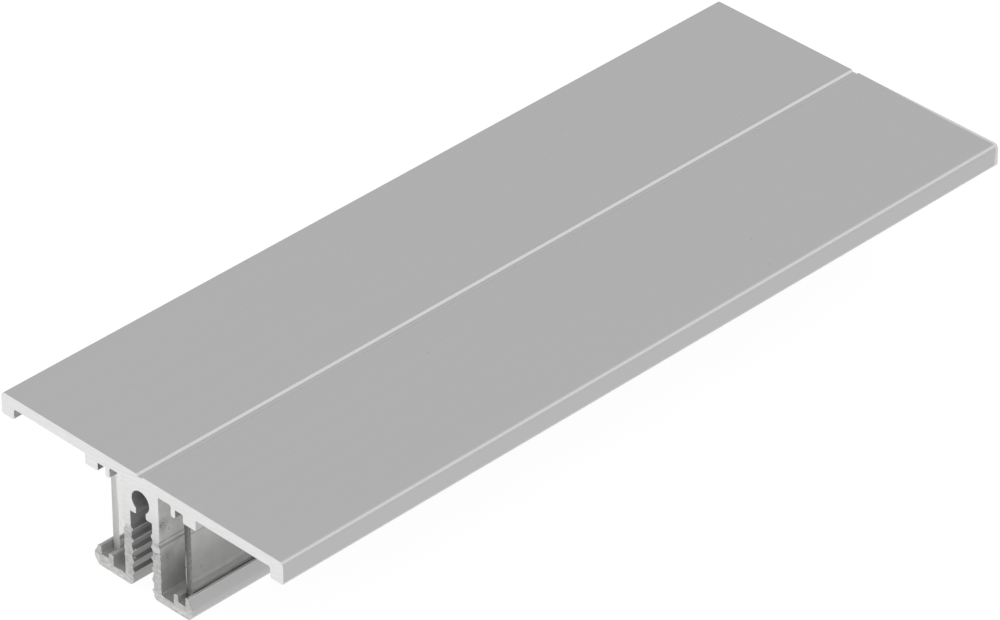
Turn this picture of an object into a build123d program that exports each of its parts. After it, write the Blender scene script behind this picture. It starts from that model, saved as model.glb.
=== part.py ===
from build123d import *

import os

# A short sample length of an aluminium T-shaped light profile, standing on its two feet.
# A wide flat plate with lipped edges is carried by a hollow web: a round screw port, open
# below into a ribbed screw slot, with a foot on each side. A thin clear strip stands in the
# grooves between plate and foot on each side and closes the light chamber beside the web.
# Millimetres, +Z up, +X across the plate, the length along Y, the origin on the standing
# surface under the middle.

# Whole profile
profile_width = 40.0
profile_height = 14.0
profile_length = 102.0

# Flat plate with a lip hanging from each long edge and a sighting groove along its middle
plate_thickness = 1.3
plate_edge_radius = 0.55
edge_lip_width = 1.8
edge_lip_drop = 1.3
edge_lip_radius = 0.25
edge_lip_inside_radius = 0.25
sight_groove_width = 1.0
sight_groove_floor_width = 0.5
sight_groove_depth = 0.2
sight_groove_radius = 0.06

# Web: screw port above, ribbed screw slot below, a locating mark scored on each leg
port_diameter = 2.5
port_cover = 1.9
port_neck_width = 1.4
port_nose_radius = 0.2
port_to_slot = 1.75
slot_width = 3.1
slot_mouth_radius = 0.4
slot_rib_pitch = 1.3
slot_rib_height = 0.25
slot_rib_base = 0.8
slot_rib_tip_radius = 0.08
slot_first_rib = 1.0
leg_thickness = 1.0
leg_mark_height = 6.95
leg_mark_width = 0.8
leg_mark_floor_width = 0.3
leg_mark_depth = 0.2

# Rails under the plate and on the feet, which hold the cover strips
chamber_floor_width = 1.8
inner_rail_width = 0.6
cover_groove_width = 1.1
cover_groove_bed = 0.25
plate_rail_drop = 1.25
plate_outer_rail_width = 1.8
foot_thickness = 0.9
foot_groove_floor = 1.42
foot_inner_rail_height = 2.1
foot_lip_height = 2.5
foot_lip_top_width = 0.3
foot_overhang = 1.1
foot_nose_height = 1.0
foot_nose_radius = 0.8
foot_heel_inset = 0.7
rail_tip_radius = 0.18
groove_corner_radius = 0.1
inside_corner_radius = 0.25

# Clear cover strips, cut a little short and slid in from the ends
strip_thickness = 0.9
strip_corner_radius = 0.1
strip_rail_clearance = 0.1
strip_roof_clearance = 0.1
near_setback_right = 1.05
near_setback_left = 1.55

# Heights and half widths that follow from the sizes above
plate_underside = profile_height - plate_thickness
edge_lip_bottom = plate_underside - edge_lip_drop
edge_lip_inside = profile_width / 2 - edge_lip_width
sight_groove_floor = profile_height - sight_groove_depth
port_centre = profile_height - port_cover - port_diameter / 2
slot_roof = port_centre - port_to_slot
slot_half = slot_width / 2
rib_count = int((slot_roof - slot_first_rib) / slot_rib_pitch)
leg_outside = slot_half + leg_thickness
leg_middle = slot_half + leg_thickness / 2
inner_rail_start = leg_outside + chamber_floor_width
groove_start = inner_rail_start + inner_rail_width
groove_end = groove_start + cover_groove_width
plate_rail_end = groove_end + plate_outer_rail_width
plate_rail_bottom = plate_underside - plate_rail_drop
groove_roof = plate_underside - cover_groove_bed
foot_nose = groove_end + foot_overhang
strip_length = profile_length - near_setback_right - near_setback_left
strip_height = groove_roof - strip_roof_clearance - foot_groove_floor
strip_middle = groove_start + strip_rail_clearance + strip_thickness / 2

# Outline of the section's right half as (x, z, rounding), from the top middle round to the slot
sight_groove = [
    (0, sight_groove_floor, 0),
    (sight_groove_floor_width / 2, sight_groove_floor, sight_groove_radius),
    (sight_groove_width / 2, profile_height, sight_groove_radius),
]
plate_edge = [
    (profile_width / 2, profile_height, plate_edge_radius),
    (profile_width / 2, edge_lip_bottom, edge_lip_radius),
    (edge_lip_inside, edge_lip_bottom, edge_lip_radius),
    (edge_lip_inside, plate_underside, edge_lip_inside_radius),
]
plate_rails = [
    (plate_rail_end, plate_underside, groove_corner_radius),
    (plate_rail_end, plate_rail_bottom, groove_corner_radius),
    (groove_end, plate_rail_bottom, rail_tip_radius),
    (groove_end, groove_roof, groove_corner_radius),
    (groove_start, groove_roof, groove_corner_radius),
    (groove_start, plate_rail_bottom, rail_tip_radius),
    (inner_rail_start, plate_rail_bottom, rail_tip_radius),
    (inner_rail_start, plate_underside, inside_corner_radius),
    (leg_outside, plate_underside, groove_corner_radius),
]
leg_mark = [
    (leg_outside, leg_mark_height + leg_mark_width / 2, 0),
    (leg_outside - leg_mark_depth, leg_mark_height + leg_mark_floor_width / 2, 0),
    (leg_outside - leg_mark_depth, leg_mark_height - leg_mark_floor_width / 2, 0),
    (leg_outside, leg_mark_height - leg_mark_width / 2, 0),
]
foot = [
    (leg_outside, foot_thickness, inside_corner_radius),
    (inner_rail_start, foot_thickness, groove_corner_radius),
    (inner_rail_start, foot_inner_rail_height, rail_tip_radius),
    (groove_start, foot_inner_rail_height, rail_tip_radius),
    (groove_start, foot_groove_floor, groove_corner_radius),
    (groove_end, foot_groove_floor, groove_corner_radius),
    (groove_end, foot_lip_height, groove_corner_radius),
    (groove_end + foot_lip_top_width, foot_lip_height, groove_corner_radius),
    (foot_nose, foot_nose_height, foot_nose_radius),
    (foot_nose - foot_heel_inset, 0, rail_tip_radius),
]
slot_wall = [
    (slot_half, 0, slot_mouth_radius),
    (slot_half, slot_roof, 0),
    (0, slot_roof, 0),
]


def slot_rib(side, height):
    """Corners of one low rib on the slot's right (1) or left (-1) wall, rooted in the leg."""
    wall = side * slot_half
    root = side * leg_middle
    tip = side * (slot_half - slot_rib_height)
    return [
        (root, height + slot_rib_base / 2, 0),
        (wall, height + slot_rib_base / 2, 0),
        (tip, height, slot_rib_tip_radius),
        (wall, height - slot_rib_base / 2, 0),
        (root, height - slot_rib_base / 2, 0),
    ]


def outline(corners):
    """A face inside the closed outline through the corners, added to the open sketch."""
    points = [(x, z) for x, z, rounding in corners]
    roundings = [rounding for x, z, rounding in corners]
    with BuildLine() as border:
        FilletPolyline(*points, radius=roundings, close=True)
    make_face(border.edges())


# The extrusion: one section, pushed out both ways along the length
with BuildPart() as extrusion:
    with BuildSketch(Plane.XZ) as section:
        outline(sight_groove + plate_edge + plate_rails + leg_mark + foot + slot_wall)
        mirror(about=Plane.YZ)

        # The left wall's ribs stand between the right wall's, as a screw's thread needs
        for step in range(rib_count):
            outline(slot_rib(1, slot_first_rib + step * slot_rib_pitch))
        for step in range(rib_count - 1):
            outline(slot_rib(-1, slot_first_rib + (step + 1 / 2) * slot_rib_pitch))

        # Screw port, its neck down into the slot, and the rounded noses beside the neck
        with Locations((0, port_centre)):
            Circle(port_diameter / 2, mode=Mode.SUBTRACT)
        with Locations((0, slot_roof)):
            Rectangle(
                port_neck_width,
                port_to_slot,
                align=(Align.CENTER, Align.MIN),
                mode=Mode.SUBTRACT,
            )
        low_corners = section.vertices().filter_by_position(Axis.Y, 0, port_centre)
        noses = low_corners.sort_by(lambda corner: abs(corner.X))[:4]
        fillet(noses, port_nose_radius)
    extrude(amount=profile_length / 2, both=True)


def cover_strip(side, near_setback):
    """One clear strip on its groove floor, a little clear of the rails beside it."""
    near_end = Plane.XZ.offset(profile_length / 2 - near_setback)
    with BuildPart() as strip:
        with BuildSketch(near_end):
            with Locations((side * strip_middle, foot_groove_floor + strip_height / 2)):
                RectangleRounded(strip_thickness, strip_height, strip_corner_radius)
        extrude(amount=-strip_length)
    return strip


right_strip = cover_strip(1, near_setback_right)
left_strip = cover_strip(-1, near_setback_left)

os.makedirs("parts", exist_ok=True)

extrusion.part.label = "t_profile_extrusion"
export_step(extrusion.part, "parts/t_profile_extrusion.step")

right_strip.part.label = "right_cover_strip"
export_step(right_strip.part, "parts/right_cover_strip.step")

left_strip.part.label = "left_cover_strip"
export_step(left_strip.part, "parts/left_cover_strip.step")
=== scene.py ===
import math

import bmesh
import bpy
from bpy.props import FloatProperty, FloatVectorProperty, PointerProperty
from mathutils import Matrix, Vector, noise


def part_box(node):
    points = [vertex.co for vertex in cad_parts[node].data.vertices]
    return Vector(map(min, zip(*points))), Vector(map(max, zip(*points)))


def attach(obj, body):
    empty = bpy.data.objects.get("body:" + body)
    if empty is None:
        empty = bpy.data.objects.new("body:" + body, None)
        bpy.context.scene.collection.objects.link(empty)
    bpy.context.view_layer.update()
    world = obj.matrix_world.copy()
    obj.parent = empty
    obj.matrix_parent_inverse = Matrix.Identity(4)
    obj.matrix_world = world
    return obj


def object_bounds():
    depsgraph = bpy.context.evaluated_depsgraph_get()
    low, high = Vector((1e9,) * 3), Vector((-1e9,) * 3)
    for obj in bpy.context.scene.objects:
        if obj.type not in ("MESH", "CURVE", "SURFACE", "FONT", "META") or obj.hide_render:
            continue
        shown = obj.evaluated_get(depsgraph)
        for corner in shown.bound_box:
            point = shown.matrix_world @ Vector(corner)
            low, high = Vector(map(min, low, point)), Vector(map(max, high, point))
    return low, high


# A short sample of an aluminium T profile with its two clear cover strips, cut from stock by a saw.
# The solids come from the CAD frame. This file gives them their surfaces, adds what the saw left on
# the cut ends, and sets a white stage round them. Metres, in the CAD's frame: the near end is at -Y.

bl_info = {
    "name": "T profile sample",
    "version": (1, 0, 0),
    "blender": (4, 5, 0),
    "location": "View3D > Sidebar > T profile",
    "description": "Surfaces, saw marks and stage for a short length of aluminium T profile",
    "category": "Object",
}

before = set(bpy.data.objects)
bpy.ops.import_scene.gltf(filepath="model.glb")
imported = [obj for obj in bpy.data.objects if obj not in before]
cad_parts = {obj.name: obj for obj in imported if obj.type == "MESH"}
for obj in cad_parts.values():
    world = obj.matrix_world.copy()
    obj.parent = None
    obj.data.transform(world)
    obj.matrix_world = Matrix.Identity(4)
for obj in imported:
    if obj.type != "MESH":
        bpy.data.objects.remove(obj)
cad_low, cad_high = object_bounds()

MM = 0.001
BODY = "root"
EXTRUSION = "t_profile_extrusion"
LEFT_STRIP = "left_cover_strip"
RIGHT_STRIP = "right_cover_strip"
NEAR = -1
FAR = 1
WHITE = (1.0, 1.0, 1.0, 1.0)

# Places on the CAD section that the surfaces change at, in millimetres
PLATE_UNDERSIDE = 12.7
EDGE_LIP_BOTTOM = 11.4
LEG_OUTSIDE = 2.55
LEG_MIDDLE = 2.05
SLOT_WALL = 1.55
SLOT_RIB_TIP = 1.3
LEG_CORNER = 1.12
FOOT_LIP = 6.22
FOOT_LIP_TOP = 2.5
INNER_RAIL = 4.35
UPPER_GROOVE = 5.5
SIGHT_GROOVE_FLOOR = 13.8

# The painted highlight along the mark scored on each leg, with painted shade along its edges, in
# millimetres: its middle, a little below the mark's own, and half its width
MARK_LINE = 6.84
MARK_LINE_HALF = 0.20

# A face belongs to a cut end where its normal points at least this far along the length
END_NORMAL = 0.5

# A noise texture's values lie mostly between these two
NOISE_LOW = 0.3
NOISE_HIGH = 0.7


def linear(hex_colour):
    """An sRGB hex colour as linear red, green, blue, and an opaque alpha."""
    channels = [int(hex_colour[place:place + 2], 16) / 255 for place in (1, 3, 5)]
    return [c / 12.92 if c <= 0.04045 else ((c + 0.055) / 1.055) ** 2.4 for c in channels] + [1.0]


class FilmSettings(bpy.types.PropertyGroup):
    """The anodised film on the extruded faces"""
    colour: FloatVectorProperty(
        name="Film colour", description="Satin anodised faces", default=linear("#B7B7B7"),
        size=4, subtype="COLOR")
    # Painted light: the chambers are coloured brighter than the film, standing in for light
    recess_painted_light_colour: FloatVectorProperty(
        name="Recess colour", description="Film painted brighter in the chambers, standing in for light",
        default=linear("#D2D2D1"), size=4, subtype="COLOR")
    slot_share: FloatProperty(
        name="Slot share", description="How far the film in the screw slot is as in the chambers",
        default=0.25, min=0, max=1)
    # The speck colour also paints shade along the marks, in the upper grooves and in the slot's mouth
    speck_and_shade_colour: FloatVectorProperty(
        name="Speck colour", description="Pits, specks of dirt and painted shade", default=linear("#5E5D5A"),
        size=4, subtype="COLOR")
    # The rim colour is bared metal and partly a painted highlight
    rim_highlight_colour: FloatVectorProperty(
        name="Rim highlight colour", description="Bared metal with a painted highlight at the far right corner and the lips' lower edges",
        default=linear("#DADADA"), size=4, subtype="COLOR")
    # Painted highlights on lines along the foot lip, the legs and the sighting groove
    highlight_colour: FloatVectorProperty(
        name="Highlight colour", description="Lines painted as highlights",
        default=linear("#FAFAFA"), size=4, subtype="COLOR")
    roughness: FloatProperty(
        name="Film roughness", description="Roughness of the open faces", default=0.45, min=0, max=1)
    recess_roughness: FloatProperty(
        name="Recess roughness", description="Roughness inside the chambers", default=0.50, min=0, max=1)
    recess_metal: FloatProperty(
        name="Recess metal", description="Share of bare metal shine left in the recesses' cloudy film",
        default=0.8, min=0, max=1)
    die_line_spacing: FloatProperty(
        name="Die line spacing", description="Width of the faint lines along the length",
        default=0.35 * MM, unit="LENGTH")
    grain_size: FloatProperty(
        name="Etch grain", description="Size of the etched grain as it is drawn",
        default=0.15 * MM, unit="LENGTH")
    speck_size: FloatProperty(
        name="Speck size", description="Width of a dark speck", default=0.4 * MM, unit="LENGTH")
    rim_width: FloatProperty(
        name="Far rim width", description="Bare rim at the plate's far right corner",
        default=0.33 * MM, unit="LENGTH")
    rim_roughness: FloatProperty(
        name="Rim roughness", description="Roughness of bared metal", default=0.8, min=0, max=1)
    rim_run: FloatProperty(
        name="Far rim run", description="How far from the middle groove the rim reaches its width",
        default=13 * MM, unit="LENGTH")
    lower_rim_width: FloatProperty(
        name="Lower rim width", description="Bare rim along the lower edges of the plate's lips",
        default=0.3 * MM, unit="LENGTH")
    lip_rim_width: FloatProperty(
        name="Lip rim width", description="Bare rim down the far end of the right lip",
        default=0.55 * MM, unit="LENGTH")


class CutSettings(bpy.types.PropertyGroup):
    """The sawn ends of the extrusion"""
    colour: FloatVectorProperty(
        name="Cut colour", description="Clean saw cut through plate and web",
        default=linear("#E4E4E4"), size=4, subtype="COLOR")
    torn_colour: FloatVectorProperty(
        name="Torn colour", description="Rough saw cut through legs and feet",
        default=linear("#BCBCBB"), size=4, subtype="COLOR")
    roughness: FloatProperty(
        name="Cut roughness", description="Roughness of the clean cut", default=0.45, min=0, max=1)
    torn_roughness: FloatProperty(
        name="Torn roughness", description="Roughness of the torn cut", default=0.60, min=0, max=1)
    torn_height: FloatProperty(
        name="Torn height", description="The cut is torn below this height", default=7.0 * MM,
        unit="LENGTH")
    facet_low: FloatProperty(
        name="Facet bottom", description="Bottom of the last clean facet on the right leg",
        default=5.85 * MM, unit="LENGTH")
    facet_high: FloatProperty(
        name="Facet top", description="Top of the last clean facet on the right leg",
        default=6.6 * MM, unit="LENGTH")
    line_spacing: FloatProperty(
        name="Saw line spacing", description="Distance from one tooth mark to the next",
        default=0.3 * MM, unit="LENGTH")
    burr_height: FloatProperty(
        name="Burr height", description="Tallest burr round the torn cut", default=0.12 * MM,
        unit="LENGTH")
    burr_pitch: FloatProperty(
        name="Burr pitch", description="Length of one tooth of the burr", default=0.5 * MM, unit="LENGTH")


class StripSettings(bpy.types.PropertyGroup):
    """The clear cover strips, their cut ends and what the saw tore off them"""
    tint: FloatVectorProperty(
        name="Strip tint", description="What the clear strip lets through",
        default=linear("#FAFAF9"), size=4, subtype="COLOR")
    haze_colour: FloatVectorProperty(
        name="Haze colour", description="Fine scratches and dust on the strip's faces",
        default=linear("#E4E3E1"), size=4, subtype="COLOR")
    haze: FloatProperty(
        name="Haze", description="Share of each face that is hazed", default=0.07, min=0, max=1)
    scuff: FloatProperty(
        name="Scuff", description="Haze on the left strip's lower edge", default=0.85, min=0, max=1)
    scuff_height: FloatProperty(
        name="Scuff height", description="Top of the scuffed lower edge", default=3.0 * MM, unit="LENGTH")
    clear_edge: FloatProperty(
        name="Clear edge", description="Width left clear along the left cut's inner edge, at its top",
        default=0.32 * MM, unit="LENGTH")
    # Painted light and shade: the cut ends' colours stand in for what is seen through each strip
    left_cut_light_colour: FloatVectorProperty(
        name="Left cut light colour", description="Frosted saw cut across the left strip, painted light for the light seen through it",
        default=linear("#C2C2C1"), size=4, subtype="COLOR")
    right_cut_shade_colour: FloatVectorProperty(
        name="Right cut shade colour", description="Saw cut across the right strip, painted dark for the shade seen through it",
        default=linear("#605F5E"), size=4, subtype="COLOR")
    clear_edge_light_colour: FloatVectorProperty(
        name="Clear edge light colour", description="The part of the left cut that stayed clear, painted as bright as the light through the strip",
        default=linear("#EAEAE9"), size=4, subtype="COLOR")
    cut_roughness: FloatProperty(
        name="Strip cut roughness", description="Roughness of the strips' cut ends", default=0.6,
        min=0, max=1)
    burr_colour: FloatVectorProperty(
        name="Strip burr colour", description="Whitened burr along the cut",
        default=linear("#C6C6C3"), size=4, subtype="COLOR")
    ior: FloatProperty(
        name="Strip IOR", description="Index of refraction of polycarbonate", default=1.585)
    roughness: FloatProperty(
        name="Strip roughness", description="Roughness of the strip's faces", default=0.03, min=0, max=1)
    burr_roughness: FloatProperty(
        name="Strip burr roughness", description="Roughness of the burr and the crumbs", default=0.5,
        min=0, max=1)
    burr_height: FloatProperty(
        name="Strip burr height", description="Tallest part of the burr", default=0.14 * MM,
        unit="LENGTH")
    burr_low: FloatProperty(
        name="Strip burr bottom", description="Where the burr starts", default=2.6 * MM, unit="LENGTH")
    burr_high: FloatProperty(
        name="Strip burr top", description="Where the burr ends", default=7.2 * MM, unit="LENGTH")
    crumb_size: FloatProperty(
        name="Crumb size", description="Width of a loose crumb", default=0.3 * MM, unit="LENGTH")


class StageSettings(bpy.types.PropertyGroup):
    """Camera, light, surround and floor"""
    azimuth: FloatProperty(
        name="Azimuth", description="Camera's turn round the profile",
        default=math.radians(44.869), subtype="ANGLE")
    elevation: FloatProperty(
        name="Elevation", description="Camera's height above the horizon",
        default=math.radians(34.575), subtype="ANGLE")
    distance: FloatProperty(
        name="Distance", description="Camera's distance from the near end's top middle",
        default=631.575 * MM, unit="LENGTH")
    aim_right: FloatProperty(
        name="Aim right", description="Picture's middle, right of the near end's top middle",
        default=34.634 * MM, unit="LENGTH")
    aim_up: FloatProperty(
        name="Aim up", description="Picture's middle, above the near end's top middle",
        default=15.916 * MM, unit="LENGTH")
    lens: FloatProperty(
        name="Lens", description="Focal length in millimetres on a 36 mm wide picture", default=236.754)
    world_strength: FloatProperty(
        name="World strength", description="Light from the white surround on matt surfaces", default=0.9)
    lamp_distance: FloatProperty(
        name="Softbox distance", description="From the profile's middle to the softbox",
        default=2.8, unit="LENGTH")
    lamp_size: FloatProperty(
        name="Softbox size", description="Side of the square softbox", default=1.8, unit="LENGTH")
    lamp_radiance: FloatProperty(
        name="Softbox brightness", description="Brightness of the softbox, where white is 1",
        default=0.95)
    dim_side: FloatProperty(
        name="Dim side", description="The surround low down behind, where white is 1", default=0.83)
    bright_side: FloatProperty(
        name="Bright side", description="The surround overhead and in front, where white is 1",
        default=0.98)
    floor_glow: FloatProperty(
        name="Floor glow", description="The floor's own white, which its shadow can't darken",
        default=0.94)
    floor_matt: FloatProperty(
        name="Floor matt share", description="The share of the floor's white that takes a shadow",
        default=0.11)


def add(tree, kind, inputs=None, **settings):
    """Adds a shader node, applies its settings, and gives its inputs values or links."""
    made = tree.nodes.new("ShaderNode" + kind)
    for field, value in settings.items():
        setattr(made, field, value)
    for name, value in (inputs or {}).items():
        if isinstance(value, bpy.types.NodeSocket):
            tree.links.new(value, made.inputs[name])
        else:
            made.inputs[name].default_value = value
    return made


def new_material(name):
    """An empty node material and its tree."""
    material = bpy.data.materials.new(name)
    material.use_nodes = True
    material.node_tree.nodes.clear()
    return material, material.node_tree


def place_in_mm(tree):
    """The point on the object in millimetres, so that a pattern's scale is one over its size."""
    place = add(tree, "TexCoord").outputs["Object"]
    return add(tree, "VectorMath", {0: place, "Scale": 1 / MM}, operation="SCALE").outputs[0]


# Aluminium, extruded, etched and anodised. The etch leaves an even satin with no mirror image, the
# die leaves faint lines along the length, and handling leaves a few dark specks. In the recesses the
# colour is painted brighter, standing in for light, and holds pits and saw dirt.
def satin_anodised_aluminium(film):
    material, tree = new_material("satin_anodised_aluminium")
    mm = place_in_mm(tree)
    xyz = add(tree, "SeparateXYZ", {0: mm}).outputs
    from_middle = add(tree, "Math", {0: xyz["X"]}, operation="ABSOLUTE").outputs[0]

    # Recess: the chambers inside the strips in full and the screw slot by a share, below a limit
    # that is the plate's underside and falls beyond the inner rails, to leave out the upper grooves
    # Painted light: the recess is coloured brighter; the same mask sets its roughness and metal
    fall = 2.2
    overlap = 0.02
    beyond_strip = 0.3
    recess_bottom = 0.3
    half_blend = 0.1
    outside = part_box(RIGHT_STRIP)[1].x / MM + beyond_strip
    limit = PLATE_UNDERSIDE + overlap + fall * INNER_RAIL
    beyond_rail = add(tree, "Math", {0: from_middle, 1: INNER_RAIL}, operation="MAXIMUM").outputs[0]
    leaning = add(tree, "Math", {
        0: beyond_rail, 1: fall, 2: xyz["Z"]}, operation="MULTIPLY_ADD").outputs[0]
    below = add(tree, "Math", {0: leaning, 1: limit}, operation="LESS_THAN").outputs[0]
    above = add(tree, "Math", {0: xyz["Z"], 1: recess_bottom}, operation="GREATER_THAN").outputs[0]
    within = add(tree, "Math", {0: from_middle, 1: outside}, operation="LESS_THAN").outputs[0]
    share = add(tree, "MapRange", {
        "Value": from_middle, "From Min": LEG_MIDDLE - half_blend, "From Max": LEG_MIDDLE + half_blend,
        "To Min": film.slot_share, "To Max": 1.0}).outputs[0]
    height_mask = add(tree, "Math", {0: below, 1: above}, operation="MULTIPLY").outputs[0]
    mask = add(tree, "Math", {0: height_mask, 1: within}, operation="MULTIPLY").outputs[0]
    recess = add(tree, "Math", {0: mask, 1: share}, operation="MULTIPLY").outputs[0]

    # Die lines run along the length, and the grain, really about 0.02 mm, is drawn coarser to show
    line_length = 83.3
    tone_swing = 0.015
    across = MM / film.die_line_spacing
    drawn = add(tree, "Mapping", {
        "Vector": mm, "Scale": (across, 1 / line_length, across)}).outputs[0]
    lines = add(tree, "TexNoise", {"Vector": drawn, "Scale": 1.0, "Detail": 2.0}).outputs["Fac"]
    line_tone = add(tree, "MapRange", {
        "Value": lines, "To Min": 1 - tone_swing, "To Max": 1 + tone_swing}).outputs[0]
    grain = add(tree, "TexNoise", {
        "Vector": mm, "Scale": MM / film.grain_size, "Detail": 1.0}).outputs["Fac"]
    grain_tone = add(tree, "MapRange", {
        "Value": grain, "To Min": 1 - tone_swing, "To Max": 1 + tone_swing}).outputs[0]
    tone = add(tree, "Math", {0: line_tone, 1: grain_tone}, operation="MULTIPLY").outputs[0]

    # Bare rim with a painted highlight at the far end's right corner: nothing at the middle groove, wider
    # down the lip. A narrower one, bared metal with a painted highlight too, runs along the lips' lower
    # edges
    edge_depth = 0.3
    lip_drop = cad_high.z / MM - EDGE_LIP_BOTTOM
    fan = (film.lip_rim_width - film.rim_width) / MM / lip_drop
    width = add(tree, "MapRange", {
        "Value": xyz["X"], "From Max": film.rim_run / MM, "To Max": film.rim_width / MM}).outputs[0]
    slanted = add(tree, "Math", {0: width, 1: xyz["Y"]}, operation="ADD").outputs[0]
    drop = add(tree, "Math", {0: cad_high.z / MM, 1: xyz["Z"]}, operation="SUBTRACT").outputs[0]
    fanned = add(tree, "Math", {0: drop, 1: fan, 2: slanted}, operation="MULTIPLY_ADD").outputs[0]
    worn = add(tree, "Math", {0: fanned, 1: cad_high.y / MM}, operation="GREATER_THAN").outputs[0]
    above_lip = add(tree, "Math", {0: xyz["Z"], 1: EDGE_LIP_BOTTOM}, operation="SUBTRACT").outputs[0]
    lower_worn = add(tree, "Math", {
        0: above_lip, 1: film.lower_rim_width / MM}, operation="LESS_THAN").outputs[0]
    on_edge = add(tree, "Math", {
        0: from_middle, 1: cad_high.x / MM - edge_depth}, operation="GREATER_THAN").outputs[0]
    lower_rim = add(tree, "Math", {0: lower_worn, 1: on_edge}, operation="MULTIPLY").outputs[0]
    on_plate = add(tree, "Math", {0: above_lip, 1: 0.0}, operation="GREATER_THAN").outputs[0]
    upper_rim = add(tree, "Math", {0: worn, 1: on_plate}, operation="MULTIPLY").outputs[0]
    rim = add(tree, "Math", {0: upper_rim, 1: lower_rim}, operation="MAXIMUM").outputs[0]

    # Specks: sparse on the open faces, in a few clusters in the recesses, and saw dirt in two places
    # on the right leg beside the near cut, each with its way in from the end, height, reach and strength
    smudges = ((0.35, 9.3, 1.1, 1.5), (0.9, 5.4, 1.2, 1.0))
    speck_from = 0.88
    speck_full = 0.94
    open_share = 0.5
    patch_size = 1.3
    cluster_from = 0.68
    cluster_full = 0.8
    pit_size = 0.17
    pit_from = 0.46
    pit_full = 0.66
    pit_least = 0.3
    spots = add(tree, "TexNoise", {
        "Vector": mm, "Scale": MM / film.speck_size, "Detail": 0.0}).outputs["Fac"]
    open_specks = add(tree, "MapRange", {
        "Value": spots, "From Min": speck_from, "From Max": speck_full, "To Max": open_share}).outputs[0]
    patches = add(tree, "TexNoise", {"Vector": mm, "Scale": 1 / patch_size, "Detail": 1.0}).outputs["Fac"]
    clusters = add(tree, "MapRange", {
        "Value": patches, "From Min": cluster_from, "From Max": cluster_full}).outputs[0]
    for inward, height, reach, strength in smudges:
        middle = (LEG_OUTSIDE, cad_low.y / MM + inward, height)
        away = add(tree, "VectorMath", {0: mm, 1: middle}, operation="DISTANCE").outputs["Value"]
        dirt = add(tree, "MapRange", {
            "Value": away, "From Max": reach, "To Min": strength, "To Max": 0.0}).outputs[0]
        clusters = add(tree, "Math", {0: clusters, 1: dirt}, operation="MAXIMUM").outputs[0]
    pits = add(tree, "TexNoise", {"Vector": mm, "Scale": 1 / pit_size, "Detail": 2.0}).outputs["Fac"]
    dark_pits = add(tree, "MapRange", {
        "Value": pits, "From Min": pit_from, "From Max": pit_full, "To Min": pit_least}).outputs[0]
    inside = add(tree, "Math", {0: clusters, 1: recess}, operation="MULTIPLY").outputs[0]
    recess_specks = add(tree, "Math", {0: dark_pits, 1: inside}, operation="MULTIPLY").outputs[0]
    dots = add(tree, "Math", {0: open_specks, 1: recess_specks}, operation="MAXIMUM").outputs[0]

    # Painted shade along both edges of each leg's mark, most of it along the upper one, up in the plate's
    # grooves, and in the mouth of the screw slot, darker towards its bottom
    leg_depth = 0.25
    edge_half = 0.05
    lower_edge_share = 0.4
    upper_edge_share = 0.8
    groove_half = 0.6
    groove_drop = 0.7
    groove_reach = 0.5
    groove_share = 0.45
    mouth_low = 2.0
    mouth_high = 4.0
    mouth_share = 0.5
    dirt_and_shade_depth = 0.7
    on_leg = add(tree, "Math", {
        0: from_middle, 1: LEG_OUTSIDE, 2: leg_depth}, operation="COMPARE").outputs[0]
    from_mark = add(tree, "Math", {0: xyz["Z"], 1: MARK_LINE}, operation="SUBTRACT").outputs[0]
    either_side = add(tree, "Math", {0: from_mark}, operation="ABSOLUTE").outputs[0]
    at_edge = add(tree, "Math", {
        0: either_side, 1: MARK_LINE_HALF, 2: edge_half}, operation="COMPARE").outputs[0]
    on_mark = add(tree, "Math", {0: at_edge, 1: on_leg}, operation="MULTIPLY").outputs[0]
    edge_share = add(tree, "MapRange", {
        "Value": from_mark, "From Min": -MARK_LINE_HALF, "From Max": MARK_LINE_HALF,
        "To Min": lower_edge_share, "To Max": upper_edge_share}).outputs[0]
    mark_edge_shade = add(tree, "Math", {0: on_mark, 1: edge_share}, operation="MULTIPLY").outputs[0]
    in_groove = add(tree, "Math", {
        0: from_middle, 1: UPPER_GROOVE, 2: groove_half}, operation="COMPARE").outputs[0]
    up_high = add(tree, "Math", {
        0: xyz["Z"], 1: PLATE_UNDERSIDE - groove_drop, 2: groove_reach}, operation="COMPARE").outputs[0]
    up_groove = add(tree, "Math", {0: in_groove, 1: up_high}, operation="MULTIPLY").outputs[0]
    groove_shade = add(tree, "Math", {0: up_groove, 1: groove_share}, operation="MULTIPLY").outputs[0]
    in_slot = add(tree, "Math", {0: from_middle, 1: LEG_MIDDLE}, operation="LESS_THAN").outputs[0]
    mouth = add(tree, "MapRange", {
        "Value": xyz["Z"], "From Min": mouth_low, "From Max": mouth_high,
        "To Min": mouth_share, "To Max": 0.0}).outputs[0]
    slot_mouth_shade = add(tree, "Math", {0: in_slot, 1: mouth}, operation="MULTIPLY").outputs[0]
    # The dark specks and this painted shade share one colour
    specks = dots
    for dirt in (mark_edge_shade, groove_shade, slot_mouth_shade):
        specks = add(tree, "Math", {0: specks, 1: dirt}, operation="MAXIMUM").outputs[0]
    speck_and_shade_share = add(tree, "Math", {0: specks, 1: dirt_and_shade_depth}, operation="MULTIPLY").outputs[0]
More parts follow.
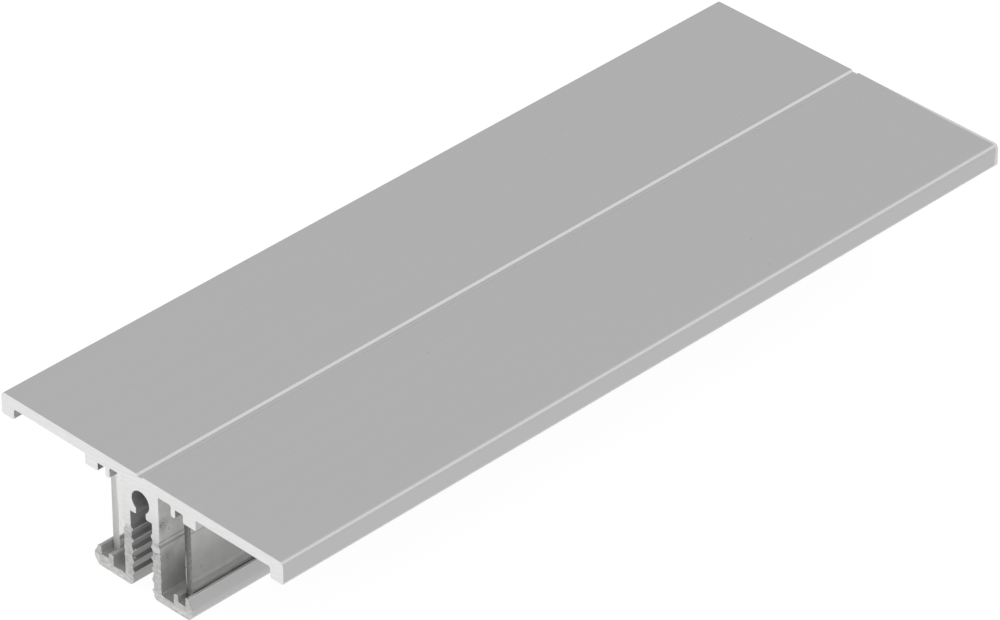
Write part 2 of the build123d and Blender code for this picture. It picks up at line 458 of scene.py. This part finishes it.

    # Painted highlights on the right foot lip's narrow top, one low on each leg by the floor's corner,
    # one along each leg's mark, and faintly on the sighting groove's floor, more to its right
    lip_half = 0.2
    lip_depth = 0.12
    lip_share = 0.45
    corner_half = 0.05
    corner_share = 1.0
    mark_share = 0.3
    sight_middle = 0.12
    sight_half = 0.38
    sight_depth = 0.15
    sight_from = -0.25
    sight_full = 0.3
    sight_most = 0.1
    at_lip = add(tree, "Math", {
        0: xyz["X"], 1: FOOT_LIP, 2: lip_half}, operation="COMPARE").outputs[0]
    lip_level = add(tree, "Math", {
        0: xyz["Z"], 1: FOOT_LIP_TOP, 2: lip_depth}, operation="COMPARE").outputs[0]
    lip_top = add(tree, "Math", {0: at_lip, 1: lip_level}, operation="MULTIPLY").outputs[0]
    lip_line = add(tree, "Math", {0: lip_top, 1: lip_share}, operation="MULTIPLY").outputs[0]
    in_sight = add(tree, "Math", {
        0: xyz["X"], 1: sight_middle, 2: sight_half}, operation="COMPARE").outputs[0]
    sight_share = add(tree, "MapRange", {
        "Value": xyz["X"], "From Min": sight_from, "From Max": sight_full,
        "To Max": sight_most}).outputs[0]
    other_lines = (
        (on_leg, LEG_CORNER, corner_half, corner_share),
        (on_leg, MARK_LINE, MARK_LINE_HALF, mark_share),
        (in_sight, SIGHT_GROOVE_FLOOR, sight_depth, sight_share),
    )
    painted_highlights = lip_line
    for place, height, half, strength in other_lines:
        level = add(tree, "Math", {0: xyz["Z"], 1: height, 2: half}, operation="COMPARE").outputs[0]
        line = add(tree, "Math", {0: level, 1: place}, operation="MULTIPLY").outputs[0]
        faint_line = add(tree, "Math", {0: line, 1: strength}, operation="MULTIPLY").outputs[0]
        painted_highlights = add(tree, "Math", {0: painted_highlights, 1: faint_line}, operation="MAXIMUM").outputs[0]

    # Film, painted brighter in the recesses, then painted highlights and bared rims with their painted
    # highlight, then the tones, and the specks, dirt and painted shade on top
    cloud_depth = 0.07
    grain_depth = 0.004 * MM
    base = add(tree, "Mix", {
        "Factor": recess, 6: film.colour, 7: film.recess_painted_light_colour}, data_type="RGBA").outputs[2]
    highlighted = add(tree, "Mix", {
        "Factor": painted_highlights, 6: base, 7: film.highlight_colour}, data_type="RGBA").outputs[2]
    bared = add(tree, "Mix", {
        "Factor": rim, 6: highlighted, 7: film.rim_highlight_colour}, data_type="RGBA").outputs[2]
    cloud = add(tree, "MapRange", {
        "Value": patches, "From Min": NOISE_LOW, "From Max": NOISE_HIGH,
        "To Min": -cloud_depth, "To Max": cloud_depth}).outputs[0]
    cloudy_tone = add(tree, "Math", {0: cloud, 1: recess, 2: tone}, operation="MULTIPLY_ADD").outputs[0]
    toned = add(tree, "VectorMath", {0: bared, "Scale": cloudy_tone}, operation="SCALE").outputs[0]
    specked = add(tree, "Mix", {
        "Factor": speck_and_shade_share, 6: toned, 7: film.speck_and_shade_colour}, data_type="RGBA").outputs[2]
    film_roughness = add(tree, "MapRange", {
        "Value": recess, "To Min": film.roughness, "To Max": film.recess_roughness}).outputs[0]
    rubbed = add(tree, "Math", {0: rim, 1: lip_top}, operation="MAXIMUM").outputs[0]
    roughness = add(tree, "MapRange", {
        "Value": rubbed, "To Min": film_roughness, "To Max": film.rim_roughness}).outputs[0]
    metal = add(tree, "MapRange", {
        "Value": mask, "To Min": 1.0, "To Max": film.recess_metal}).outputs[0]
    bump = add(tree, "Bump", {
        "Height": grain, "Strength": 0.3, "Distance": grain_depth}).outputs[0]
    shader = add(tree, "BsdfPrincipled", {
        "Base Color": specked, "Metallic": metal, "Roughness": roughness, "Normal": bump}).outputs[0]
    add(tree, "OutputMaterial", {"Surface": shader})
    return material


# Aluminium bared by a circular saw. Through the plate and web the cut is clean and bright, with
# shallow tooth lines. Lower down the legs and feet shook, and the metal is torn, dull and streaked.
def sawn_aluminium(cut):
    material, tree = new_material("sawn_aluminium")
    mm = place_in_mm(tree)
    xyz = add(tree, "SeparateXYZ", {0: mm}).outputs

    # Tooth lines are arcs about the blade's middle, broken where the cut was smooth. They are really
    # about 0.1 mm apart and are drawn coarser to show
    blade_middle = (-55.0, 0.0, 300.0)
    smooth_size = 1.4
    line_from = 0.1
    line_full = 0.4
    line_dark = 0.955
    line_bright = 1.02
    blade = add(tree, "VectorMath", {0: mm, 1: blade_middle}, operation="DISTANCE").outputs["Value"]
    lines = add(tree, "TexNoise", {
        "W": blade, "Scale": MM / cut.line_spacing, "Detail": 2.0}, noise_dimensions="1D").outputs["Fac"]
    smooth = add(tree, "TexNoise", {"Vector": mm, "Scale": 1 / smooth_size, "Detail": 3.0}).outputs["Fac"]
    broken = add(tree, "Math", {0: lines, 1: smooth}, operation="MULTIPLY").outputs[0]
    line_tone = add(tree, "MapRange", {
        "Value": broken, "From Min": line_from, "From Max": line_full,
        "To Min": line_dark, "To Max": line_bright}).outputs[0]

    # The torn zone has an uneven edge, and leaves one clean facet with a painted shadow of a step under it
    edge_size = 0.9
    edge_swing = 0.9
    half_blend = 0.2
    step_half = 0.07
    edge = add(tree, "TexNoise", {"Vector": mm, "Scale": 1 / edge_size, "Detail": 3.0}).outputs["Fac"]
    height = add(tree, "Math", {0: edge, 1: edge_swing, 2: xyz["Z"]}, operation="MULTIPLY_ADD").outputs[0]
    torn_top = cut.torn_height / MM + edge_swing / 2
    torn_below = add(tree, "MapRange", {
        "Value": height, "From Min": torn_top - half_blend, "From Max": torn_top + half_blend,
        "To Min": 1.0, "To Max": 0.0}).outputs[0]
    on_right = add(tree, "Math", {0: xyz["X"], 1: 0.0}, operation="GREATER_THAN").outputs[0]
    facet_middle = (cut.facet_low + cut.facet_high) / 2 / MM + edge_swing / 2
    facet_half = (cut.facet_high - cut.facet_low) / 2 / MM
    level = add(tree, "Math", {
        0: height, 1: facet_middle, 2: facet_half}, operation="COMPARE").outputs[0]
    facet = add(tree, "Math", {0: level, 1: on_right}, operation="MULTIPLY").outputs[0]
    torn = add(tree, "Math", {0: torn_below, 1: facet}, operation="SUBTRACT", use_clamp=True).outputs[0]
    step_middle = facet_middle - facet_half - step_half
    under = add(tree, "Math", {
        0: height, 1: step_middle, 2: step_half}, operation="COMPARE").outputs[0]
    step = add(tree, "Math", {0: under, 1: on_right}, operation="MULTIPLY").outputs[0]

    # Torn metal: uneven streaks along the blade's path; painted light lifts it most on the feet, in the
    # floor's shade
    streak_length = 0.7
    streak_width = 0.3
    streak_dark = 0.80
    streak_bright = 1.18
    foot_low = 0.7
    foot_high = 1.5
    foot_painted_light = 1.22
    leg_tone = 1.07
    step_shade = 0.3
    drawn = add(tree, "Mapping", {
        "Vector": mm, "Scale": (1 / streak_length, 1.0, 1 / streak_width)}).outputs[0]
    streaks = add(tree, "TexNoise", {
        "Vector": drawn, "Scale": 1.0, "Detail": 3.0, "Distortion": 0.5}).outputs["Fac"]
    streak_tone = add(tree, "MapRange", {
        "Value": streaks, "From Min": NOISE_LOW, "From Max": NOISE_HIGH,
        "To Min": streak_dark, "To Max": streak_bright}).outputs[0]
    feet_painted_light = add(tree, "MapRange", {
        "Value": xyz["Z"], "From Min": foot_low, "From Max": foot_high,
        "To Min": foot_painted_light, "To Max": leg_tone}).outputs[0]
    streaked = add(tree, "Math", {0: streak_tone, 1: feet_painted_light}, operation="MULTIPLY").outputs[0]
    shaded = add(tree, "Math", {
        0: step, 1: -step_shade, 2: streaked}, operation="MULTIPLY_ADD").outputs[0]

    # The clean cut dulls towards the torn zone, the right leg more than the left
    left_tone = 0.9
    right_loss = 0.12
    dull_run = 4.0
    line_depth = 0.006 * MM
    tear_depth = 0.08 * MM
    dullest = add(tree, "Math", {
        0: on_right, 1: -right_loss, 2: left_tone}, operation="MULTIPLY_ADD").outputs[0]
    dulled = add(tree, "MapRange", {
        "Value": xyz["Z"], "From Min": cut.torn_height / MM, "From Max": cut.torn_height / MM + dull_run,
        "To Min": dullest, "To Max": 1.0}).outputs[0]
    clean_tone = add(tree, "Math", {0: line_tone, 1: dulled}, operation="MULTIPLY").outputs[0]
    clean = add(tree, "VectorMath", {0: cut.colour[:3], "Scale": clean_tone}, operation="SCALE").outputs[0]
    rough = add(tree, "VectorMath", {0: cut.torn_colour[:3], "Scale": shaded}, operation="SCALE").outputs[0]
    base = add(tree, "Mix", {"Factor": torn, 6: clean, 7: rough}, data_type="RGBA").outputs[2]
    roughness = add(tree, "MapRange", {
        "Value": torn, "To Min": cut.roughness, "To Max": cut.torn_roughness}).outputs[0]
    ragged = add(tree, "Math", {0: streaks, 1: torn}, operation="MULTIPLY").outputs[0]
    fine = add(tree, "Bump", {"Height": broken, "Strength": 0.3, "Distance": line_depth}).outputs[0]
    coarse = add(tree, "Bump", {
        "Height": ragged, "Strength": 0.6, "Distance": tear_depth, "Normal": fine}).outputs[0]
    shader = add(tree, "BsdfPrincipled", {
        "Base Color": base, "Metallic": 1.0, "Roughness": roughness, "Normal": coarse}).outputs[0]
    add(tree, "OutputMaterial", {"Surface": shader})
    return material


# Clear polycarbonate, extruded as thin strip. It bends and mirrors what is round it, and a faint
# haze of dust and fine scratches greys what is behind it. The left strip is scuffed along its lower
# edge. Lamps shine through it.
def clear_polycarbonate(strip):
    material, tree = new_material("clear_extruded_polycarbonate")
    xyz = add(tree, "SeparateXYZ", {0: place_in_mm(tree)}).outputs
    on_left = add(tree, "Math", {0: xyz["X"], 1: 0.0}, operation="LESS_THAN").outputs[0]
    half_blend = 0.2
    scuff_top = strip.scuff_height / MM
    scuffed = add(tree, "MapRange", {
        "Value": xyz["Z"], "From Min": scuff_top - half_blend, "From Max": scuff_top + half_blend,
        "To Min": strip.scuff, "To Max": 0.0}).outputs[0]
    left_worn = add(tree, "Math", {0: scuffed, 1: on_left}, operation="MULTIPLY").outputs[0]
    haze = add(tree, "Math", {0: left_worn, 1: strip.haze}, operation="MAXIMUM").outputs[0]
    clear = add(tree, "BsdfPrincipled", {
        "Base Color": strip.tint, "Roughness": strip.roughness, "IOR": strip.ior,
        "Transmission Weight": 1.0}).outputs[0]
    dust = add(tree, "BsdfDiffuse", {"Color": strip.haze_colour}).outputs[0]
    hazed = add(tree, "MixShader", {0: haze, 1: clear, 2: dust}).outputs[0]
    through = add(tree, "BsdfTransparent", {"Color": strip.tint}).outputs[0]
    from_lamp = add(tree, "LightPath").outputs["Is Shadow Ray"]
    shader = add(tree, "MixShader", {0: from_lamp, 1: hazed, 2: through}).outputs[0]
    add(tree, "OutputMaterial", {"Surface": shader})
    return material


# The same strip across a saw cut: matt and cloudy, graded from one face of the strip to the other and
# from bottom to top, painted light on the left cut and dark on the right for the light and shade seen
# through each end. The cloud is fine and taller than wide, strong on the right cut and faint on the
# left. A clear edge in the upper half, widest at the top, is painted as bright as the strip.
def sawn_polycarbonate(name, colour, fade, rise, cloud_depth, clear_edge, strip):
    material, tree = new_material(name)
    mm = place_in_mm(tree)
    low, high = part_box(RIGHT_STRIP)
    cloud_width = 0.15
    cloud_height = 0.4
    xyz = add(tree, "SeparateXYZ", {0: mm}).outputs
    from_middle = add(tree, "Math", {0: xyz["X"]}, operation="ABSOLUTE").outputs[0]
    fade_tone = add(tree, "MapRange", {
        "Value": from_middle, "From Min": low.x / MM, "From Max": high.x / MM,
        "To Min": 1 + fade, "To Max": 1 - fade}).outputs[0]
    rise_tone = add(tree, "MapRange", {
        "Value": xyz["Z"], "From Min": low.z / MM, "From Max": high.z / MM,
        "To Min": 1 - rise, "To Max": 1 + rise}).outputs[0]
    graded = add(tree, "Math", {0: fade_tone, 1: rise_tone}, operation="MULTIPLY").outputs[0]
    drawn = add(tree, "Mapping", {
        "Vector": mm, "Scale": (1 / cloud_width, 1.0, 1 / cloud_height)}).outputs[0]
    cloud = add(tree, "TexNoise", {"Vector": drawn, "Scale": 1.0, "Detail": 2.0}).outputs["Fac"]
    cloud_tone = add(tree, "MapRange", {
        "Value": cloud, "From Min": NOISE_LOW, "From Max": NOISE_HIGH,
        "To Min": 1 - cloud_depth, "To Max": 1 + cloud_depth}).outputs[0]
    tone = add(tree, "Math", {0: graded, 1: cloud_tone}, operation="MULTIPLY").outputs[0]
    cloudy = add(tree, "VectorMath", {0: colour[:3], "Scale": tone}, operation="SCALE").outputs[0]
    edge_width = add(tree, "MapRange", {
        "Value": xyz["Z"], "From Min": (low.z + high.z) / 2 / MM, "From Max": high.z / MM,
        "To Max": clear_edge / MM}).outputs[0]
    inside = add(tree, "Math", {0: from_middle, 1: low.x / MM}, operation="SUBTRACT").outputs[0]
    at_edge = add(tree, "Math", {0: inside, 1: edge_width}, operation="LESS_THAN").outputs[0]
    base = add(tree, "Mix", {
        "Factor": at_edge, 6: cloudy, 7: strip.clear_edge_light_colour}, data_type="RGBA").outputs[2]
    shader = add(tree, "BsdfPrincipled", {
        "Base Color": base, "Roughness": strip.cut_roughness, "IOR": strip.ior}).outputs[0]
    add(tree, "OutputMaterial", {"Surface": shader})
    return material


# Polycarbonate that the saw melted and tore: whitened, ragged and matt.
def torn_polycarbonate(strip):
    material, tree = new_material("torn_polycarbonate")
    mm = place_in_mm(tree)
    cloud_size = 0.25
    darkest = 0.75
    lightest = 1.15
    cloud = add(tree, "TexNoise", {"Vector": mm, "Scale": 1 / cloud_size, "Detail": 2.0}).outputs["Fac"]
    tone = add(tree, "MapRange", {"Value": cloud, "To Min": darkest, "To Max": lightest}).outputs[0]
    base = add(tree, "VectorMath", {0: strip.burr_colour[:3], "Scale": tone}, operation="SCALE").outputs[0]
    shader = add(tree, "BsdfPrincipled", {
        "Base Color": base, "Roughness": strip.burr_roughness, "IOR": strip.ior}).outputs[0]
    add(tree, "OutputMaterial", {"Surface": shader})
    return material


def finish_ends(node, long_material, end_material):
    """Gives a CAD node one material on its extruded faces and another on its two cut ends."""
    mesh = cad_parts[node].data
    mesh.materials.clear()
    mesh.materials.append(long_material)
    mesh.materials.append(end_material)
    for face in mesh.polygons:
        face.material_index = 1 if abs(face.normal.y) > END_NORMAL else 0


def add_piece(scene, name, mesh, material):
    """Links a new piece to the scene, fixed to the profile's one body."""
    mesh.materials.append(material)
    piece = bpy.data.objects.new(name, mesh)
    scene.collection.objects.link(piece)
    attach(piece, BODY)


def wedge_mesh(name, stretches):
    """A mesh of closed wedges, each a row of three-cornered sections joined in order."""
    shape = bmesh.new()
    for sections in stretches:
        rows = [[shape.verts.new(corner) for corner in section] for section in sections]
        for row, following in zip(rows, rows[1:]):
            for corner in range(3):
                shape.faces.new((
                    row[corner - 1], row[corner], following[corner], following[corner - 1]))
        shape.faces.new(rows[0])
        shape.faces.new(rows[-1])
    bmesh.ops.recalc_face_normals(shape, faces=shape.faces)
    mesh = bpy.data.meshes.new(name)
    shape.to_mesh(mesh)
    shape.free()
    return mesh


def end_outline(node, side):
    """A node's near or far cut edge as (x, z) points, in the order of the end's own faces."""
    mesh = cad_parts[node].data
    digits = 7
    edges = set()
    for face in mesh.polygons:
        if face.normal.y * side < END_NORMAL:
            continue
        ring = [mesh.vertices[corner].co.xz.to_tuple(digits) for corner in face.vertices]
        for start, end in zip(ring, ring[1:] + ring[:1]):
            if (end, start) in edges:
                edges.remove((end, start))
            else:
                edges.add((start, end))
    after = dict(edges)
    outline = [min(after)]
    while after[outline[-1]] != outline[0]:
        outline.append(after[outline[-1]])
    return outline


def fine_outline(outline, step):
    """The same closed outline with its points no further apart than a step."""
    fine = []
    for start, end in zip(outline, outline[1:] + outline[:1]):
        parts = math.ceil((Vector(end) - Vector(start)).length / step)
        fine += [Vector(start).lerp(Vector(end), part / parts) for part in range(parts)]
    return fine


def burr_stretches(side, cut):
    """Rows of burr sections along one cut edge, where the cut is torn and clear of the floor."""
    steps_per_tooth = 4
    lowest_share = 0.08
    middle_share = 0.35
    floor_gap = 2 * cut.burr_height
    root_depth = 0.02 * MM
    tip_back = 0.03 * MM
    root_back = 0.2 * MM
    face = cad_high.y * side
    outline = fine_outline(end_outline(EXTRUSION, side), cut.burr_pitch / steps_per_tooth)
    following = outline[1:] + outline[:1]
    stretches = [[]]
    for place, point in enumerate(outline):
        if not floor_gap < point.y < cut.torn_height:
            if stretches[-1]:
                stretches.append([])
            continue
        along = following[place] - outline[place - 1]
        outward = Vector((along.y, -along.x)).normalized() * -side
        wave = noise.noise(Vector((point.x, point.y, face)) / cut.burr_pitch)
        tip = point + outward * cut.burr_height * min(1, max(lowest_share, middle_share + wave))
        root = point - outward * root_depth
        stretches[-1].append((
            (root.x, face, root.y),
            (tip.x, face - side * tip_back, tip.y),
            (root.x, face - side * root_back, root.y),
        ))
    return [stretch for stretch in stretches if len(stretch) > 1]


def strip_burr_sections(strip):
    """Sections of the ragged burr up the inner part of the right strip's near end."""
    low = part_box(RIGHT_STRIP)[0]
    spacing = 0.12 * MM
    wander = 0.04 * MM
    width = 0.06 * MM
    inset = 0.08 * MM
    sunk = 0.02 * MM
    tooth = 3 * spacing
    bend = 5 * spacing
    other_noise = 7
    lowest_share = 0.15
    middle_share = 0.6
    count = round((strip.burr_high - strip.burr_low) / spacing)
    sections = []
    for step in range(count + 1):
        height = strip.burr_low + step * spacing
        taper = math.sin(math.pi * (step + 1) / (count + 2))
        wave = noise.noise(Vector((0, 0, height)) / tooth)
        tall = strip.burr_height * taper * max(lowest_share, middle_share + wave)
        left = low.x + inset + wander * noise.noise(Vector((other_noise, 0, height / bend)))
        sections.append((
            (left, low.y + sunk, height),
            (left + width / 4, low.y - tall, height),
            (left + width, low.y + sunk, height),
        ))
    return sections


def add_crumb(shape, place, size, flatness, turn):
    """Adds one torn crumb to an open mesh: an uneven pebble, flat against the wall it clings to."""
    thinness = 0.7
    unevenness = 0.6
    lumps = 3
    made = bmesh.ops.create_icosphere(shape, subdivisions=2, radius=size / 2)
    for vertex in made["verts"]:
        wave = noise.noise(vertex.co * lumps / size + Vector((turn, turn, turn)))
        flake = vertex.co * (1 + unevenness * wave)
        flake.x *= thinness
        flake.z *= flatness
        vertex.co = place + flake


class PROFILE_OT_finish_extrusion(bpy.types.Operator):
    """Anodised film on the extruded faces, bare sawn metal on the two ends"""
    bl_idname = "profile.finish_extrusion"
    bl_label = "Finish extrusion"

    def execute(self, context):
        film = satin_anodised_aluminium(context.scene.profile_film)
        finish_ends(EXTRUSION, film, sawn_aluminium(context.scene.profile_cut))
        return {"FINISHED"}


class PROFILE_OT_finish_strips(bpy.types.Operator):
    """Clear faces on the strips; saw cuts painted light on the left one's ends and dark on the right's"""
    bl_idname = "profile.finish_strips"
    bl_label = "Finish cover strips"

    def execute(self, context):
        strip = context.scene.profile_strip
        clear = clear_polycarbonate(strip)
        frosted = sawn_polycarbonate(
            "frosted_sawn_polycarbonate", strip.left_cut_light_colour, fade=0.08, rise=0.12,
            cloud_depth=0.05, clear_edge=strip.clear_edge, strip=strip)
        painted_shade_cut = sawn_polycarbonate(
            "painted_shade_sawn_polycarbonate", strip.right_cut_shade_colour, fade=-0.6, rise=-0.1,
            cloud_depth=0.42, clear_edge=0.0, strip=strip)
        finish_ends(LEFT_STRIP, clear, frosted)
        finish_ends(RIGHT_STRIP, clear, painted_shade_cut)
        return {"FINISHED"}


class PROFILE_OT_add_saw_burrs(bpy.types.Operator):
    """Ragged burrs that the saw left round the legs and feet at both ends"""
    bl_idname = "profile.add_saw_burrs"
    bl_label = "Add saw burrs"

    def execute(self, context):
        bared = bpy.data.materials["sawn_aluminium"]
        for name, side in (("near_saw_burr", NEAR), ("far_saw_burr", FAR)):
            mesh = wedge_mesh(name, burr_stretches(side, context.scene.profile_cut))
            add_piece(context.scene, name, mesh, bared)
        return {"FINISHED"}


class PROFILE_OT_add_strip_burr(bpy.types.Operator):
    """Whitened burr on the right strip's near end"""
    bl_idname = "profile.add_strip_burr"
    bl_label = "Add strip burr"

    def execute(self, context):
        strip = context.scene.profile_strip
        mesh = wedge_mesh("strip_burr", [strip_burr_sections(strip)])
        add_piece(context.scene, "strip_burr", mesh, torn_polycarbonate(strip))
        return {"FINISHED"}


class PROFILE_OT_add_crumbs(bpy.types.Operator):
    """Crumbs of torn plastic that cling to the slot's left wall near the near end"""
    bl_idname = "profile.add_crumbs"
    bl_label = "Add crumbs"

    def execute(self, context):
        strip = context.scene.profile_strip
        inward = 0.3
        tip_seat = SLOT_RIB_TIP - 0.05
        wall_seat = SLOT_WALL - 0.08
        # Each crumb's seat, height, share of the size, and flatness
        crumbs = ((tip_seat, 4.34, 1.0, 0.6), (wall_seat, 3.3, 0.8, 0.9))
        shape = bmesh.new()
        for turn, (seat, height, share, flatness) in enumerate(crumbs):
            place = Vector((-seat, cad_low.y / MM + inward, height)) * MM
            add_crumb(shape, place, share * strip.crumb_size, flatness, turn)
        mesh = bpy.data.meshes.new("plastic_crumbs")
        shape.to_mesh(mesh)
        shape.free()
        torn = bpy.data.materials["torn_polycarbonate"]
        add_piece(context.scene, "plastic_crumbs", mesh, torn)
        return {"FINISHED"}


class PROFILE_OT_set_stage(bpy.types.Operator):
    """White floor that keeps a soft shadow, white surround, one softbox and the camera"""
    bl_idname = "profile.set_stage"
    bl_label = "Set stage"

    def execute(self, context):
        stage = context.scene.profile_stage
        set_world(context.scene, stage)
        set_floor(context.scene, stage)
        set_softbox(context.scene, stage)
        set_camera(context.scene, stage)
        context.scene.view_settings.view_transform = "Standard"
        return {"FINISHED"}


def set_world(scene, stage):
    """A pale surround, brighter overhead and in front. To the camera it is plain white."""
    world = bpy.data.worlds.new("white_surround")
    world.use_nodes = True
    tree = world.node_tree
    tree.nodes.clear()
    path = add(tree, "LightPath").outputs
    mirrored = add(tree, "Math", {
        0: path["Is Glossy Ray"], 1: path["Is Transmission Ray"]}, operation="MAXIMUM").outputs[0]
    strength = add(tree, "MapRange", {
        "Value": mirrored, "To Min": stage.world_strength, "To Max": 1.0}).outputs[0]
    direction = add(tree, "TexCoord").outputs["Generated"]
    bright_direction = (0.2, -0.6, 0.77)
    dim_below = -0.4
    bright_above = 0.2
    facing = add(tree, "VectorMath", {
        0: direction, 1: bright_direction}, operation="DOT_PRODUCT").outputs["Value"]
    graded = add(tree, "MapRange", {
        "Value": facing, "From Min": dim_below, "From Max": bright_above,
        "To Min": stage.dim_side, "To Max": stage.bright_side}).outputs[0]
    shaded = add(tree, "Math", {0: strength, 1: graded}, operation="MULTIPLY").outputs[0]
    shown = add(tree, "Math", {0: path["Is Camera Ray"], 1: shaded}, operation="MAXIMUM").outputs[0]
    light = add(tree, "Background", {"Color": WHITE, "Strength": shown}).outputs[0]
    add(tree, "OutputWorld", {"Surface": light})
    scene.world = world


def set_floor(scene, stage):
    """A wide white floor under the feet. From below it can be seen through."""
    half = 1.5
    corners = [(-half, -half, 0), (half, -half, 0), (half, half, 0), (-half, half, 0)]
    mesh = bpy.data.meshes.new("floor")
    mesh.from_pydata(corners, [], [(0, 1, 2, 3)])
    floor = bpy.data.objects.new("floor", mesh)
    scene.collection.objects.link(floor)
    material, tree = new_material("white_floor")
    glow = add(tree, "Emission", {"Color": WHITE, "Strength": stage.floor_glow}).outputs[0]
    grey = [stage.floor_matt] * 3 + [1.0]
    matt = add(tree, "BsdfDiffuse", {"Color": grey}).outputs[0]
    top = add(tree, "AddShader", {0: glow, 1: matt}).outputs[0]
    under = add(tree, "BsdfTransparent", {"Color": WHITE}).outputs[0]
    back = add(tree, "NewGeometry").outputs["Backfacing"]
    shader = add(tree, "MixShader", {0: back, 1: top, 2: under}).outputs[0]
    add(tree, "OutputMaterial", {"Surface": shader})
    mesh.materials.append(material)


def set_softbox(scene, stage):
    """A square softbox above and behind, to the right. It lights the groove and the rounded edge."""
    data = bpy.data.lights.new("softbox", "AREA")
    data.size = stage.lamp_size
    data.energy = stage.lamp_radiance * math.pi * stage.lamp_size ** 2
    lamp = bpy.data.objects.new("softbox", data)
    towards = Vector((0.43, 0.58, 0.69)).normalized()
    lamp.location = towards * stage.lamp_distance
    lamp.rotation_euler = towards.to_track_quat("Z", "Y").to_euler()
    lamp.visible_camera = False
    scene.collection.objects.link(lamp)


def set_camera(scene, stage):
    """The camera, set out from the near end's top middle."""
    across = Vector((math.cos(stage.azimuth), math.sin(stage.azimuth), 0))
    level = math.cos(stage.elevation)
    back = Vector((
        math.sin(stage.azimuth) * level, -math.cos(stage.azimuth) * level, math.sin(stage.elevation)))
    up = back.cross(across)
    near_top = Vector(((cad_low.x + cad_high.x) / 2, cad_low.y, cad_high.z))
    clip_ratio = 100
    data = bpy.data.cameras.new("camera")
    data.lens = stage.lens
    data.clip_start = stage.distance / clip_ratio
    data.clip_end = stage.distance * clip_ratio
    camera = bpy.data.objects.new("camera", data)
    camera.matrix_world = Matrix((across, up, back)).transposed().to_4x4()
    camera.location = near_top + stage.aim_right * across + stage.aim_up * up + stage.distance * back
    scene.collection.objects.link(camera)
    scene.camera = camera


class PROFILE_PT_panel(bpy.types.Panel):
    """Surfaces, saw marks and stage of the T profile"""
    bl_idname = "PROFILE_PT_panel"
    bl_label = "T profile"
    bl_space_type = "VIEW_3D"
    bl_region_type = "UI"
    bl_category = "T profile"

    def draw(self, context):
        for name, group in SETTINGS.items():
            column = self.layout.box().column()
            for field in group.__annotations__:
                column.prop(getattr(context.scene, name), field)
        for step in STEPS:
            self.layout.operator(step.bl_idname)


STEPS = (
    PROFILE_OT_finish_extrusion,
    PROFILE_OT_finish_strips,
    PROFILE_OT_add_saw_burrs,
    PROFILE_OT_add_strip_burr,
    PROFILE_OT_add_crumbs,
    PROFILE_OT_set_stage,
)
SETTINGS = {
    "profile_film": FilmSettings,
    "profile_cut": CutSettings,
    "profile_strip": StripSettings,
    "profile_stage": StageSettings,
}


def register():
    for name, group in SETTINGS.items():
        bpy.utils.register_class(group)
        setattr(bpy.types.Scene, name, PointerProperty(type=group))
    for cls in (*STEPS, PROFILE_PT_panel):
        bpy.utils.register_class(cls)


def unregister():
    for cls in (PROFILE_PT_panel, *reversed(STEPS)):
        bpy.utils.unregister_class(cls)
    for name, group in SETTINGS.items():
        delattr(bpy.types.Scene, name)
        bpy.utils.unregister_class(group)


def main():
    register()
    bpy.ops.profile.finish_extrusion()
    bpy.ops.profile.finish_strips()
    bpy.ops.profile.add_saw_burrs()
    bpy.ops.profile.add_strip_burr()
    bpy.ops.profile.add_crumbs()
    bpy.ops.profile.set_stage()


if __name__ == "__main__":
    main()
